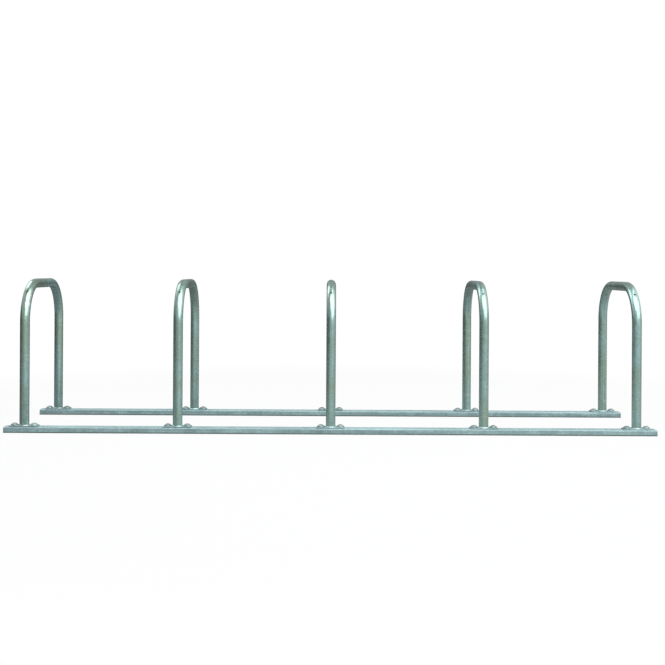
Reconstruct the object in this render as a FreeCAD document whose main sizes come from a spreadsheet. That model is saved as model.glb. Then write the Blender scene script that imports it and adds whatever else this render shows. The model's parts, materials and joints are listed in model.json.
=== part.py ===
import FreeCAD, Part
import os

import Sketcher

# Floor bike rack: a row of bent-tube hoops bolted across two long channel rails that rest on the ground.
#
# Millimetres, +Z up. X runs along the rails and Y across them, with the front rail at -Y. The origin is on
# the ground, under the middle of the rack. Each hoop is one tube welded to two base plates. A base plate
# sits on a rail and is held by two round-headed bolts, whose square necks stop them from turning. Their
# nuts are inside the rail, which is a channel with its open side down.

# How a sketch constraint names the sketch's own axes and the points of a line, an arc or a circle.
ORIGIN_INDEX = -1       # the horizontal axis, and with START_INDEX the origin
UPRIGHT_INDEX = -2      # the vertical axis
START_INDEX = 1
END_INDEX = 2
CENTRE_INDEX = 3

FULL_TURN = 360         # degrees
TOLERANCE = 1e-6
LEAST_CUT = 1           # a cut that takes away less than this many cubic millimetres has missed
FIXINGS_PER_HOOP = 4

document = FreeCAD.newDocument("bike_rack")


# ---------------------------------------------------------------------------------------------------------
# Driving sizes
# ---------------------------------------------------------------------------------------------------------

DRIVING_SIZES = [
    # the row
    ("hoop_count", 5),
    ("hoop_spacing", 800),       # from one hoop to the next, along the rails
    # the hoops
    ("leg_run", 539),            # straight tube from the base plate up to the bend
    ("top_run", 300),            # straight tube between the two bends
    ("bend_radius", 200),        # of the tube's centre line
    ("tube_diameter", 50),
    ("tube_wall", 3),
    ("vent_diameter", 10),       # lets the zinc run in and out when the hoop is dipped
    ("vent_angle", 45),          # how far up the front bend the vent is, from level
    ("weld_leg", 5),             # height and width of the weld between tube and plate
    # the base plates
    ("plate_thickness", 6),
    ("plate_end_margin", 2.5),   # plate beyond the bolt's head
    ("plate_side_margin", 2.5),  # plate beyond the weld
    ("plate_corner", 8),
    ("plate_edge", 1.5),
    ("drain_diameter", 20),      # under the tube, for the same zinc
    # the rails
    ("rail_height", 30),
    ("rail_wall", 4),
    ("rail_bend", 3),            # inside radius of the channel's two folds
    ("rail_margin", 5),          # rail beyond the base plate, on each side
    ("rail_overhang", 100),      # rail beyond the first and the last hoop
    # the fixings
    ("bolt_diameter", 16),
    ("bolt_chamfer", 1.5),
    ("bolt_overrun", 3),         # thread that stands out of the nut
    ("head_diameter", 38),
    ("head_rim", 3),             # upright edge of the head
    ("head_dome", 10),           # from that edge to the crown
    ("washer_diameter", 30),
    ("washer_thickness", 3),
    ("nut_width", 24),           # across its flats
    ("nut_height", 13),
    # room between the pieces that fit each other
    ("head_clearance", 2),       # from the weld to the bolt's head
    ("neck_clearance", 0.5),     # round the square neck
    ("neck_relief", 1),          # the neck ends this far short of the washer
    ("washer_clearance", 0.5),
    ("thread_clearance", 0.1),
    ("weld_clearance", 0.1),
]

sheet = document.addObject("Spreadsheet::Sheet", "Sizes")
for row, (alias, value) in enumerate(DRIVING_SIZES, start=1):
    sheet.set("A%d" % row, alias)
    sheet.set("B%d" % row, str(value))
    sheet.setAlias("B%d" % row, alias)
document.recompute()


def half(formula):
    return "(%s) / 2" % formula


TUBE_RADIUS = half("Sizes.tube_diameter")
WELD_TOE = "(%s + Sizes.weld_leg)" % TUBE_RADIUS
BOLT_OFFSET = "(%s + Sizes.head_clearance + %s)" % (WELD_TOE, half("Sizes.head_diameter"))
TOP_HALF = half("Sizes.top_run")
LEG_OFFSET = "(%s + Sizes.bend_radius)" % TOP_HALF
PLATE_REACH = "(%s + %s + Sizes.plate_end_margin)" % (BOLT_OFFSET, half("Sizes.head_diameter"))
PLATE_SIDE = "(%s + Sizes.plate_side_margin)" % WELD_TOE
PLATE_TOP = "(Sizes.rail_height + Sizes.plate_thickness)"
RAIL_SIDE = "(%s + Sizes.rail_margin)" % PLATE_SIDE
CHANNEL_SIDE = "(%s - Sizes.rail_wall)" % RAIL_SIDE
ROW_LENGTH = "((Sizes.hoop_count - 1) * Sizes.hoop_spacing)"
RAIL_LENGTH = "(%s + 2 * Sizes.rail_overhang)" % ROW_LENGTH
CHANNEL_CEILING = "(Sizes.rail_height - Sizes.rail_wall)"
SQUARE_HOLE = "(Sizes.bolt_diameter + 2 * Sizes.neck_clearance)"
WASHER_HOLE = "(Sizes.bolt_diameter + 2 * Sizes.washer_clearance)"
NUT_BORE = "(Sizes.bolt_diameter + 2 * Sizes.thread_clearance)"
NUT_CORNER = "(Sizes.nut_width / sqrt(3))"
NUT_CHAMFER = "((%s - Sizes.nut_width / 2) / sqrt(3))" % NUT_CORNER
NECK_HEIGHT = "(Sizes.plate_thickness + Sizes.rail_wall - Sizes.neck_relief)"
SHANK_LENGTH = ("(Sizes.plate_thickness + Sizes.rail_wall + Sizes.washer_thickness"
                " + Sizes.nut_height + Sizes.bolt_overrun)")


def number(formula):
    """The value that a formula has now."""
    return float(sheet.evalExpression(formula))


# ---------------------------------------------------------------------------------------------------------
# Sketches
# ---------------------------------------------------------------------------------------------------------

def new_body(name):
    return document.addObject("PartDesign::Body", name)


def origin_feature(body, role):
    """One of the body's own origin planes or axes, such as XY_Plane or X_Axis."""
    return [feature for feature in body.Origin.OriginFeatures if feature.Role == role][0]


def new_sketch(body, plane, name):
    sketch = body.newObject("Sketcher::SketchObject", name)
    sketch.AttachmentSupport = (origin_feature(body, plane), [""])
    sketch.MapMode = "FlatFace"
    return sketch


def position(across, up):
    """A point from two formulas, in the sketch's own plane."""
    return FreeCAD.Vector(number(across), number(up), 0)


def bind(sketch, constraint, formula):
    index = sketch.addConstraint(constraint)
    sketch.setExpression("Constraints[%d]" % index, formula)


def pin(sketch, element, vertex, across, up):
    """Hold one point of a sketch at two formulas. A formula of 0 puts it on the axis."""
    origin = (ORIGIN_INDEX, START_INDEX)
    point = (element, vertex)
    for kind, axis, formula in (("DistanceX", UPRIGHT_INDEX, across), ("DistanceY", ORIGIN_INDEX, up)):
        distance = number(formula)
        if formula == "0":
            sketch.addConstraint(Sketcher.Constraint("PointOnObject", *point, axis))
        elif distance > 0:
            bind(sketch, Sketcher.Constraint(kind, *origin, *point, distance), formula)
        else:
            bind(sketch, Sketcher.Constraint(kind, *point, *origin, -distance), "-(%s)" % formula)


def draw_line(sketch, begin, finish):
    return sketch.addGeometry(Part.LineSegment(position(*begin), position(*finish)), False)


def join(sketch, element, vertex, other, other_vertex):
    sketch.addConstraint(Sketcher.Constraint("Coincident", element, vertex, other, other_vertex))


def draw_polygon(sketch, corners):
    """A closed outline of straight lines, each corner pinned at its two formulas."""
    lines = [draw_line(sketch, corner, corners[(index + 1) % len(corners)])
             for index, corner in enumerate(corners)]
    for index, line in enumerate(lines):
        join(sketch, line, END_INDEX, lines[(index + 1) % len(lines)], START_INDEX)
        pin(sketch, line, START_INDEX, *corners[index])
    return lines


def draw_box(sketch, left, right, bottom, top):
    return draw_polygon(sketch, [(left, bottom), (right, bottom), (right, top), (left, top)])


def draw_square(sketch, side, across):
    """A square with its middle on the horizontal axis."""
    draw_box(sketch, "%s - %s" % (across, half(side)), "%s + %s" % (across, half(side)),
             "-%s" % half(side), half(side))


def draw_circle(sketch, diameter, across, up):
    circle = Part.Circle(position(across, up), FreeCAD.Vector(0, 0, 1), number(half(diameter)))
    element = sketch.addGeometry(circle, False)
    bind(sketch, Sketcher.Constraint("Diameter", element, number(diameter)), diameter)
    pin(sketch, element, CENTRE_INDEX, across, up)


# ---------------------------------------------------------------------------------------------------------
# Features
# ---------------------------------------------------------------------------------------------------------

cuts = []        # every feature that takes material away, checked at the end


def pad(body, sketch, length, name):
    feature = body.newObject("PartDesign::Pad", name)
    feature.Profile = sketch
    feature.setExpression("Length", length)
    return feature


def cut_through(body, sketch, name):
    """Cut the sketch's outline right through the body, both ways from the sketch."""
    feature = body.newObject("PartDesign::Pocket", name)
    feature.Profile = sketch
    feature.Type = "ThroughAll"
    feature.Midplane = True
    cuts.append(feature)
    return feature


def turn(body, sketch, name, kind="PartDesign::Revolution"):
    """Turn the sketch's outline once round its vertical axis."""
    feature = body.newObject(kind, name)
    feature.Profile = sketch
    feature.ReferenceAxis = (sketch, ["V_Axis"])
    feature.Angle = FULL_TURN
    return feature


def round_edges(body, base, wanted, radius, name):
    """Round those edges of the base feature that the wanted test picks."""
    document.recompute()
    edges = ["Edge%d" % index for index, edge in enumerate(base.Shape.Edges, start=1) if wanted(edge)]
    if not edges:
        raise RuntimeError("%s finds no edge to round" % name)
    feature = body.newObject("PartDesign::Fillet", name)
    feature.Base = (base, edges)
    feature.setExpression("Radius", radius)
    return feature


def is_along(edge, direction):
    return (isinstance(edge.Curve, Part.Line)
            and abs(edge.Curve.Direction.dot(direction)) > 1 - TOLERANCE)


def is_level_at(edge, height):
    return (abs(edge.BoundBox.ZMin - height) < TOLERANCE
            and abs(edge.BoundBox.ZMax - height) < TOLERANCE)


def repeat_at_four_bolts(body, name):
    """Repeat the body's one fixing at the four bolt holes of a hoop, as separate solids."""
    document.recompute()
    originals = [feature for feature in body.Group if hasattr(feature, "AddSubShape")]
    pattern = body.newObject("PartDesign::LinearPattern", name)
    pattern.Originals = originals
    pattern.Direction = (origin_feature(body, "X_Axis"), [""])
    pattern.setExpression("Length", "2 * %s" % BOLT_OFFSET)
    pattern.Occurrences = 2
    pattern.Direction2 = (origin_feature(body, "Y_Axis"), [""])
    pattern.setExpression("Length2", "2 * %s" % LEG_OFFSET)
    pattern.Occurrences2 = 2
    body.Tip = pattern


def place(body, along, across, up):
    """Put the body's own origin at three formulas in the rack's frame."""
    for axis, formula in (("x", along), ("y", across), ("z", up)):
        body.setExpression("Placement.Base.%s" % axis, formula)


# ---------------------------------------------------------------------------------------------------------
# Rails
# ---------------------------------------------------------------------------------------------------------

def make_rail(name, across):
    """A folded channel with its open side down. Its own origin is under the first hoop."""
    rail = new_body(name)
    section = new_sketch(rail, "YZ_Plane", name + "_section")
    section.setExpression("AttachmentOffset.Base.z", "-Sizes.rail_overhang")
    draw_polygon(section, [
        ("-" + RAIL_SIDE, "0"),
        ("-" + CHANNEL_SIDE, "0"),
        ("-" + CHANNEL_SIDE, CHANNEL_CEILING),
        (CHANNEL_SIDE, CHANNEL_CEILING),
        (CHANNEL_SIDE, "0"),
        (RAIL_SIDE, "0"),
        (RAIL_SIDE, "Sizes.rail_height"),
        ("-" + RAIL_SIDE, "Sizes.rail_height"),
    ])
    channel = pad(rail, section, RAIL_LENGTH, name + "_channel")

    lengthwise = FreeCAD.Vector(1, 0, 0)
    outer_folds = round_edges(
        rail, channel,
        lambda edge: is_along(edge, lengthwise) and is_level_at(edge, number("Sizes.rail_height")),
        "Sizes.rail_bend + Sizes.rail_wall", name + "_outer_folds")
    round_edges(
        rail, outer_folds,
        lambda edge: is_along(edge, lengthwise) and is_level_at(edge, number(CHANNEL_CEILING)),
        "Sizes.rail_bend", name + "_inner_folds")

    holes = new_sketch(rail, "XY_Plane", name + "_bolt_holes")
    draw_square(holes, SQUARE_HOLE, "-" + BOLT_OFFSET)
    draw_square(holes, SQUARE_HOLE, BOLT_OFFSET)
    pair = cut_through(rail, holes, name + "_first_pair")
    document.recompute()
    row = rail.newObject("PartDesign::LinearPattern", name + "_pairs")
    row.Originals = [pair]
    row.Direction = (origin_feature(rail, "X_Axis"), [""])
    row.setExpression("Length", ROW_LENGTH)
    row.setExpression("Occurrences", "Sizes.hoop_count")
    rail.Tip = row
    cuts.append(row)
    place(rail, "-" + half(ROW_LENGTH), across, "0")
    return rail


# ---------------------------------------------------------------------------------------------------------
# Hoops: the tube, its base plates and their welds
# ---------------------------------------------------------------------------------------------------------

def make_hoop_tube(name, along):
    """A tube bent twice. Its own origin is midway between its feet, on top of the base plates."""
    hoop = new_body(name)
    route = new_sketch(hoop, "YZ_Plane", name + "_route")
    top_level = "(Sizes.leg_run + Sizes.bend_radius)"
    runs = []
    for begin, finish in (
            (("-" + LEG_OFFSET, "0"), ("-" + LEG_OFFSET, "Sizes.leg_run")),
            (("-" + TOP_HALF, top_level), (TOP_HALF, top_level)),
            ((LEG_OFFSET, "Sizes.leg_run"), (LEG_OFFSET, "0"))):
        run = draw_line(route, begin, finish)
        pin(route, run, START_INDEX, *begin)
        pin(route, run, END_INDEX, *finish)
        runs.append(run)
    for side, before, after in ((-1, runs[0], runs[1]), (1, runs[1], runs[2])):
        centre = FreeCAD.Vector(side * number(TOP_HALF), number("Sizes.leg_run"), 0)
        middle = centre + FreeCAD.Vector(side, 1, 0).normalize() * number("Sizes.bend_radius")
        bend = route.addGeometry(Part.Arc(route.getPoint(before, END_INDEX), middle,
                                          route.getPoint(after, START_INDEX)), False)
        near, far = ends_of_arc(route, bend, before)
        route.addConstraint(Sketcher.Constraint("Tangent", before, END_INDEX, bend, near))
        join(route, bend, far, after, START_INDEX)

    section = new_sketch(hoop, "XY_Plane", name + "_section")
    bore = "(Sizes.tube_diameter - 2 * Sizes.tube_wall)"
    draw_circle(section, "Sizes.tube_diameter", "0", "-" + LEG_OFFSET)
    draw_circle(section, bore, "0", "-" + LEG_OFFSET)
    document.recompute()
    tube = hoop.newObject("PartDesign::AdditivePipe", name + "_tube")
    tube.Profile = section
    tube.Spine = (route, [])

    vent = new_sketch(hoop, "XY_Plane", name + "_vent_outline")
    lean = FreeCAD.Rotation(FreeCAD.Vector(1, 0, 0), number("90 - Sizes.vent_angle"))
    vent.AttachmentOffset = FreeCAD.Placement(FreeCAD.Vector(0, 0, 0), lean)
    vent.setExpression("AttachmentOffset.Rotation.Angle", "90 - Sizes.vent_angle")
    vent.setExpression("AttachmentOffset.Base.y",
                       "-%s - Sizes.bend_radius * cos(Sizes.vent_angle * 1deg)" % TOP_HALF)
    vent.setExpression("AttachmentOffset.Base.z",
                       "Sizes.leg_run + Sizes.bend_radius * sin(Sizes.vent_angle * 1deg)")
    draw_circle(vent, "Sizes.vent_diameter", "0", "0")
    drilled = hoop.newObject("PartDesign::Pocket", name + "_vent")
    drilled.Profile = vent
    drilled.setExpression("Length", "Sizes.tube_diameter")
    drilled.Reversed = True
    cuts.append(drilled)
    place(hoop, along, "0", PLATE_TOP)
    return hoop


def ends_of_arc(sketch, arc, line):
    """The arc's two ends, the one that meets the end of the line first."""
    gap = sketch.getPoint(arc, START_INDEX).distanceToPoint(sketch.getPoint(line, END_INDEX))
    if gap < TOLERANCE:
        return START_INDEX, END_INDEX
    return END_INDEX, START_INDEX


def make_base_plate(name, along, across):
    """A flat plate with a square hole at each end. Its own origin is under the leg, on top of the rail."""
    plate = new_body(name)
    outline = new_sketch(plate, "XY_Plane", name + "_outline")
    draw_box(outline, "-" + PLATE_REACH, PLATE_REACH, "-" + PLATE_SIDE, PLATE_SIDE)
    slab = pad(plate, outline, "Sizes.plate_thickness", name + "_slab")
    upright = FreeCAD.Vector(0, 0, 1)
    corners = round_edges(plate, slab, lambda edge: is_along(edge, upright),
                          "Sizes.plate_corner", name + "_corners")
    thickness = number("Sizes.plate_thickness")
    round_edges(plate, corners, lambda edge: is_level_at(edge, thickness),
                "Sizes.plate_edge", name + "_worn_edge")
    holes = new_sketch(plate, "XY_Plane", name + "_holes")
    draw_square(holes, SQUARE_HOLE, "-" + BOLT_OFFSET)
    draw_square(holes, SQUARE_HOLE, BOLT_OFFSET)
    draw_circle(holes, "Sizes.drain_diameter", "0", "0")
    cut_through(plate, holes, name + "_holes_cut")
    place(plate, along, across, "Sizes.rail_height")
    return plate


def make_weld_bead(name, along, across):
    """The ring of weld in the corner between tube and plate. Its own origin is on the plate's top."""
    bead = new_body(name)
    section = new_sketch(bead, "XZ_Plane", name + "_section")
    root = "(%s + Sizes.weld_clearance)" % TUBE_RADIUS
    draw_polygon(section, [(root, "0"), (WELD_TOE, "0"), (root, "Sizes.weld_leg")])
    turn(bead, section, name + "_ring")
    place(bead, along, across, PLATE_TOP)
    return bead


# ---------------------------------------------------------------------------------------------------------
# Fixings: each node holds the four of one hoop, and starts at the front left one
# ---------------------------------------------------------------------------------------------------------

def new_fixing(name, along, up):
    fixing = new_body(name)
    fixing.AllowCompound = True
    place(fixing, "%s - %s" % (along, BOLT_OFFSET), "-" + LEG_OFFSET, up)
    return fixing


def make_bolts(name, along):
    """Round-headed bolts with a square neck. The origin of the first is at the tip of its shank."""
    bolts = new_fixing(name, along, "%s - %s" % (PLATE_TOP, SHANK_LENGTH))
    side_view = new_sketch(bolts, "XZ_Plane", name + "_side_view")
    shank_side = half("Sizes.bolt_diameter")
    head_side = half("Sizes.head_diameter")
    rim_top = "(%s + Sizes.head_rim)" % SHANK_LENGTH
    crown = ("0", "(%s + Sizes.head_dome)" % rim_top)
    corners = [
        crown,
        ("0", "0"),
        ("%s - Sizes.bolt_chamfer" % shank_side, "0"),
        (shank_side, "Sizes.bolt_chamfer"),
        (shank_side, SHANK_LENGTH),
        (head_side, SHANK_LENGTH),
        (head_side, rim_top),
    ]
    lines = [draw_line(side_view, begin, finish) for begin, finish in zip(corners, corners[1:])]
    for index, line in enumerate(lines):
        pin(side_view, line, START_INDEX, *corners[index])
        if index:
            join(side_view, lines[index - 1], END_INDEX, line, START_INDEX)
    pin(side_view, lines[-1], END_INDEX, *corners[-1])
    draw_dome(side_view, lines[-1], lines[0], head_side, "Sizes.head_dome")
    turn(bolts, side_view, name + "_turned")

    neck = new_sketch(bolts, "XY_Plane", name + "_neck_outline")
    neck.setExpression("AttachmentOffset.Base.z", "%s - %s" % (SHANK_LENGTH, NECK_HEIGHT))
    draw_square(neck, "Sizes.bolt_diameter", "0")
    pad(bolts, neck, NECK_HEIGHT, name + "_neck")
    repeat_at_four_bolts(bolts, name + "_four")
    return bolts


def draw_dome(sketch, rim_line, crown_line, radius, rise):
    """An arc from the top of the rim to the crown, level at the crown."""
    rim = sketch.getPoint(rim_line, END_INDEX)
    crown = sketch.getPoint(crown_line, START_INDEX)
    curve = (number(radius) ** 2 + number(rise) ** 2) / (2 * number(rise))
    centre = crown - FreeCAD.Vector(0, curve, 0)
    middle = centre + ((rim - centre) + (crown - centre)).normalize() * curve
    dome = sketch.addGeometry(Part.Arc(rim, middle, crown), False)
    join(sketch, rim_line, END_INDEX, dome, START_INDEX)
    join(sketch, dome, END_INDEX, crown_line, START_INDEX)
    sketch.addConstraint(Sketcher.Constraint("PointOnObject", dome, CENTRE_INDEX, UPRIGHT_INDEX))


def make_washers(name, along):
    """Flat washers, pressed up against the inside of the channel."""
    washers = new_fixing(name, along, "%s - Sizes.washer_thickness" % CHANNEL_CEILING)
    outline = new_sketch(washers, "XY_Plane", name + "_outline")
    draw_circle(outline, "Sizes.washer_diameter", "0", "0")
    draw_circle(outline, WASHER_HOLE, "0", "0")
    pad(washers, outline, "Sizes.washer_thickness", name + "_ring")
    repeat_at_four_bolts(washers, name + "_four")
    return washers


def make_nuts(name, along):
    """Hexagon nuts under the washers, with the corners turned off at both ends."""
    nuts = new_fixing(name, along,
                      "%s - Sizes.washer_thickness - Sizes.nut_height" % CHANNEL_CEILING)
    outline = new_sketch(nuts, "XY_Plane", name + "_outline")
    flat = half("Sizes.nut_width")
    low_corner = half(NUT_CORNER)
    draw_polygon(outline, [
        ("0", "-" + NUT_CORNER),
        (flat, "-" + low_corner),
        (flat, low_corner),
        ("0", NUT_CORNER),
        ("-" + flat, low_corner),
        ("-" + flat, "-" + low_corner),
    ])
    draw_circle(outline, NUT_BORE, "0", "0")
    pad(nuts, outline, "Sizes.nut_height", name + "_hexagon")
    corners = new_sketch(nuts, "XZ_Plane", name + "_corners")
    draw_polygon(corners, [(flat, "0"), (NUT_CORNER, "0"), (NUT_CORNER, NUT_CHAMFER)])
    draw_polygon(corners, [
        (flat, "Sizes.nut_height"),
        (NUT_CORNER, "Sizes.nut_height - %s" % NUT_CHAMFER),
        (NUT_CORNER, "Sizes.nut_height"),
    ])
    cuts.append(turn(nuts, corners, name + "_chamfers", "PartDesign::Groove"))
    repeat_at_four_bolts(nuts, name + "_four")
    return nuts


# ---------------------------------------------------------------------------------------------------------
# The rack
# ---------------------------------------------------------------------------------------------------------

SIDES = (("front", "-" + LEG_OFFSET), ("rear", LEG_OFFSET))
sub_parts = {}   # each finished body and how many separate solids it has

for side, across in SIDES:
    sub_parts[make_rail("rail_%s" % side, across)] = 1

for hoop in range(int(number("Sizes.hoop_count"))):
    place_in_row = "(%d * Sizes.hoop_spacing - %s)" % (hoop, half(ROW_LENGTH))
    label = hoop + 1
    sub_parts[make_hoop_tube("hoop_tube_%d" % label, place_in_row)] = 1
    for side, across in SIDES:
        sub_parts[make_base_plate("base_plate_%s_%d" % (side, label), place_in_row, across)] = 1
        sub_parts[make_weld_bead("weld_bead_%s_%d" % (side, label), place_in_row, across)] = 1
    sub_parts[make_bolts("bolts_hoop_%d" % label, place_in_row)] = FIXINGS_PER_HOOP
    sub_parts[make_washers("washers_hoop_%d" % label, place_in_row)] = FIXINGS_PER_HOOP
    sub_parts[make_nuts("nuts_hoop_%d" % label, place_in_row)] = FIXINGS_PER_HOOP

document.recompute()


# ---------------------------------------------------------------------------------------------------------
# Checks, then the files
# ---------------------------------------------------------------------------------------------------------

for item in document.Objects:
    if {"Invalid", "Error"} & set(item.State):
        raise RuntimeError("%s has failed: %s" % (item.Name, item.getStatusString()))
for cut in cuts:
    if cut.Shape.Volume > cut.BaseFeature.Shape.Volume - LEAST_CUT:
        raise RuntimeError("%s takes nothing away" % cut.Name)
for body, solids in sub_parts.items():
    if body.Shape.isNull() or not body.Shape.isValid() or len(body.Shape.Solids) != solids:
        raise RuntimeError("%s isn't %d whole solids" % (body.Label, solids))

os.makedirs("parts", exist_ok=True)
for body in sub_parts:
    body.Shape.exportStep("parts/%s.step" % body.Label)

print("%d sub-parts, %d solids" % (len(sub_parts), sum(sub_parts.values())))
for body in sub_parts:
    print("%-20s %9.0f mm3" % (body.Label, body.Shape.Volume))
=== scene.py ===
# %% [markdown]
# # A floor bike rack in galvanised steel
#
# The rack is a row of five bent-tube hoops, bolted across two long channel rails that lie on the ground.
# Its solids come from the CAD model, in metres, with the origin on the ground under the middle of the rack,
# X along the rails and the front at -Y. This script loads them as a fixed frame, dresses them in zinc, and
# replaces the two kinds of piece that a plain solid can't tell well: the weld beads and the bolts.

# %% Load the frame
import json
import math

import bmesh
import bpy
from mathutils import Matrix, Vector

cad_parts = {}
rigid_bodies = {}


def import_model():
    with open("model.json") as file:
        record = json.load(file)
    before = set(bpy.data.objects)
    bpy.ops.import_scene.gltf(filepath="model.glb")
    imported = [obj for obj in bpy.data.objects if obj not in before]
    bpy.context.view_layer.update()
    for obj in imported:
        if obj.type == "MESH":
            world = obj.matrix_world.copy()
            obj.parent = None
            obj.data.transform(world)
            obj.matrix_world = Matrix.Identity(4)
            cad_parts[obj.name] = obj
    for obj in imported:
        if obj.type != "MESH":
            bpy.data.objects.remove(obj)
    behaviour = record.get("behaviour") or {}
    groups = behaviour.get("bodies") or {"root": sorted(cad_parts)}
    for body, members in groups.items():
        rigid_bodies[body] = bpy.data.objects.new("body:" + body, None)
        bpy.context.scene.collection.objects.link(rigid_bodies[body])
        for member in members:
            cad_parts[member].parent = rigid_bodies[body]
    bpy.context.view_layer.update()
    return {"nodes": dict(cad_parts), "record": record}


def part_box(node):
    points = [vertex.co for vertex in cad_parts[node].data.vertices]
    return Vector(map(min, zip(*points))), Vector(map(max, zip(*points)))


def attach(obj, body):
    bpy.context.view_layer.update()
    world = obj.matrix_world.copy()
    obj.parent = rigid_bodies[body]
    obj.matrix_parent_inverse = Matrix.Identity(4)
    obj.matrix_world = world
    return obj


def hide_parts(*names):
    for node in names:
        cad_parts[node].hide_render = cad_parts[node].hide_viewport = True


for leftover in list(bpy.data.objects):
    bpy.data.objects.remove(leftover)
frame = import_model()
nodes = frame["nodes"]

# %% [markdown]
# ## Sizes
#
# Everything that this script makes has to sit on what carries it, so its sizes are read from the frame's own
# boxes wherever they can be. A few that a box doesn't tell, such as the bend's radius or the thread's pitch,
# are written as numbers.

# %% Sizes read from the frame
HOOPS = len([name for name in nodes if name.startswith("hoop_tube_")])
tube_low, tube_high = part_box("hoop_tube_1")
next_tube_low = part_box("hoop_tube_2")[0]
plate_low, plate_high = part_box("base_plate_front_1")
bolt_low, bolt_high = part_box("bolts_hoop_1")

HOOP_SPACING = next_tube_low.x - tube_low.x
TUBE_RADIUS = (tube_high.x - tube_low.x) / 2
LEG_Y = -(plate_low.y + plate_high.y) / 2
PLATE_TOP = plate_high.z
HOOP_TOP = tube_high.z
BEND_RADIUS = 0.200
BEND_START_Y = LEG_Y - BEND_RADIUS
BEND_START_Z = HOOP_TOP - TUBE_RADIUS - BEND_RADIUS
print("hoops:", HOOPS, "spacing:", round(HOOP_SPACING, 4), "tube radius:", round(TUBE_RADIUS, 4),
      "leg at y:", round(LEG_Y, 4), "bends start at z:", round(BEND_START_Z, 4))

# %% [markdown]
# ## The camera
#
# The photograph looks almost level at the tops of the hoops, so all five tops lie on one line. A level camera
# keeps upright things upright, and its shift moves the picture up so that the rack sits where the photograph
# has it. The alternative, to tilt the camera down, would make the legs lean outwards.

# %% Camera
IMAGE_PIXELS = 665
FOCAL_PIXELS = 1068.3
HORIZON_RISE_PIXELS = 62.2
SENSOR_WIDTH = 36.0
CAMERA_PLACE = (-0.0117, -5.936, 0.8537)
CAMERA_ROLL = -0.0058
CAMERA_HEADING = -0.0030
FARTHEST_SEEN = 200.0

camera_data = bpy.data.cameras.new("camera")
camera_data.sensor_width = SENSOR_WIDTH
camera_data.lens = FOCAL_PIXELS / IMAGE_PIXELS * SENSOR_WIDTH
camera_data.shift_y = -HORIZON_RISE_PIXELS / IMAGE_PIXELS
camera_data.clip_end = FARTHEST_SEEN
camera = bpy.data.objects.new("camera", camera_data)
camera.location = CAMERA_PLACE
camera.rotation_euler = (math.radians(90.0), CAMERA_ROLL, CAMERA_HEADING)
bpy.context.scene.collection.objects.link(camera)
bpy.context.scene.camera = camera
bpy.context.scene.view_settings.view_transform = "Standard"
print("lens:", round(camera_data.lens, 2), "mm, shift:", round(camera_data.shift_y, 4))

# %% [markdown]
# ## Wiring nodes
#
# Materials and Geometry Nodes are both trees of nodes. This small helper adds a node, sets its sockets and
# joins it to others in one call. It is used instead of loose calls because each line then reads like the node
# that you would see in the editor.

# %% Helper that adds and joins nodes
class Wiring:
    """Adds nodes to one tree. A socket's value may be a number, a colour or another node's output."""

    def __init__(self, tree):
        self.tree = tree

    def add(self, kind, values=None, **settings):
        node = self.tree.nodes.new(kind)
        for name, setting in settings.items():
            setattr(node, name, setting)
        for socket, value in (values or {}).items():
            self.put(node.inputs[socket], value)
        return node

    def put(self, socket, value):
        if isinstance(value, bpy.types.NodeSocket):
            self.tree.links.new(value, socket)
        else:
            socket.default_value = value

    def math(self, operation, first, second=0.0, third=0.0, clamp=False):
        node = self.add("ShaderNodeMath", {0: first, 1: second, 2: third}, operation=operation,
                        use_clamp=clamp)
        return node.outputs[0]

    def chain(self, operation, first, *others):
        """One operation over several values: their sum, their product or the largest of them."""
        for other in others:
            first = self.math(operation, first, other)
        return first

    def vector(self, operation, first, second=(0.0, 0.0, 0.0)):
        return self.add("ShaderNodeVectorMath", {0: first, 1: second}, operation=operation).outputs[0]

    def scaled(self, vector, scale):
        return self.add("ShaderNodeVectorMath", {0: vector, "Scale": scale}, operation="SCALE").outputs[0]

    def distance(self, first, second=(0.0, 0.0, 0.0)):
        node = self.add("ShaderNodeVectorMath", {0: first, 1: second}, operation="DISTANCE")
        return node.outputs["Value"]

    def combine(self, x, y, z):
        return self.add("ShaderNodeCombineXYZ", {0: x, 1: y, 2: z}).outputs[0]

    def separate(self, vector):
        return self.add("ShaderNodeSeparateXYZ", {0: vector}).outputs

    def ramp(self, value, low, high, to_low=0.0, to_high=1.0):
        """Moves the range low..high to to_low..to_high, with soft ends."""
        return self.add("ShaderNodeMapRange", {"Value": value, "From Min": low, "From Max": high,
                                               "To Min": to_low, "To Max": to_high},
                        interpolation_type="SMOOTHSTEP").outputs[0]

    def noise(self, vector, scale, detail=2.0, roughness=0.5):
        return self.add("ShaderNodeTexNoise", {"Vector": vector, "Scale": scale, "Detail": detail,
                                               "Roughness": roughness}).outputs[0]

    def wander(self, vector, scale, detail, reach):
        """A small random vector at each place, to push a pattern's edges about."""
        noise = self.noise(vector, scale, detail)
        return self.vector("MULTIPLY", noise.node.outputs["Color"], reach)

    def mix_colour(self, factor, first, second, blend="MIX"):
        """Mixes two colours. Of the node's many sockets, inputs 6 and 7 and output 2 are for colours."""
        node = self.add("ShaderNodeMix", {0: factor, 6: first, 7: second}, data_type="RGBA",
                        blend_type=blend)
        return node.outputs[2]

    def shade(self, colour, tone):
        """Multiplies a colour by a grey, to make it darker or paler."""
        return self.mix_colour(1.0, colour, self.combine(tone, tone, tone), "MULTIPLY")

    def end(self, shader, kind="ShaderNodeOutputMaterial"):
        """Joins the last shader to the tree's output."""
        self.add(kind, {"Surface": shader})


def new_finish(name):
    """A material with an empty node tree, and the helper for that tree."""
    material = bpy.data.materials.new(name)
    material.use_nodes = True
    material.node_tree.nodes.clear()
    return material, Wiring(material.node_tree)


print("wiring helper ready")

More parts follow.
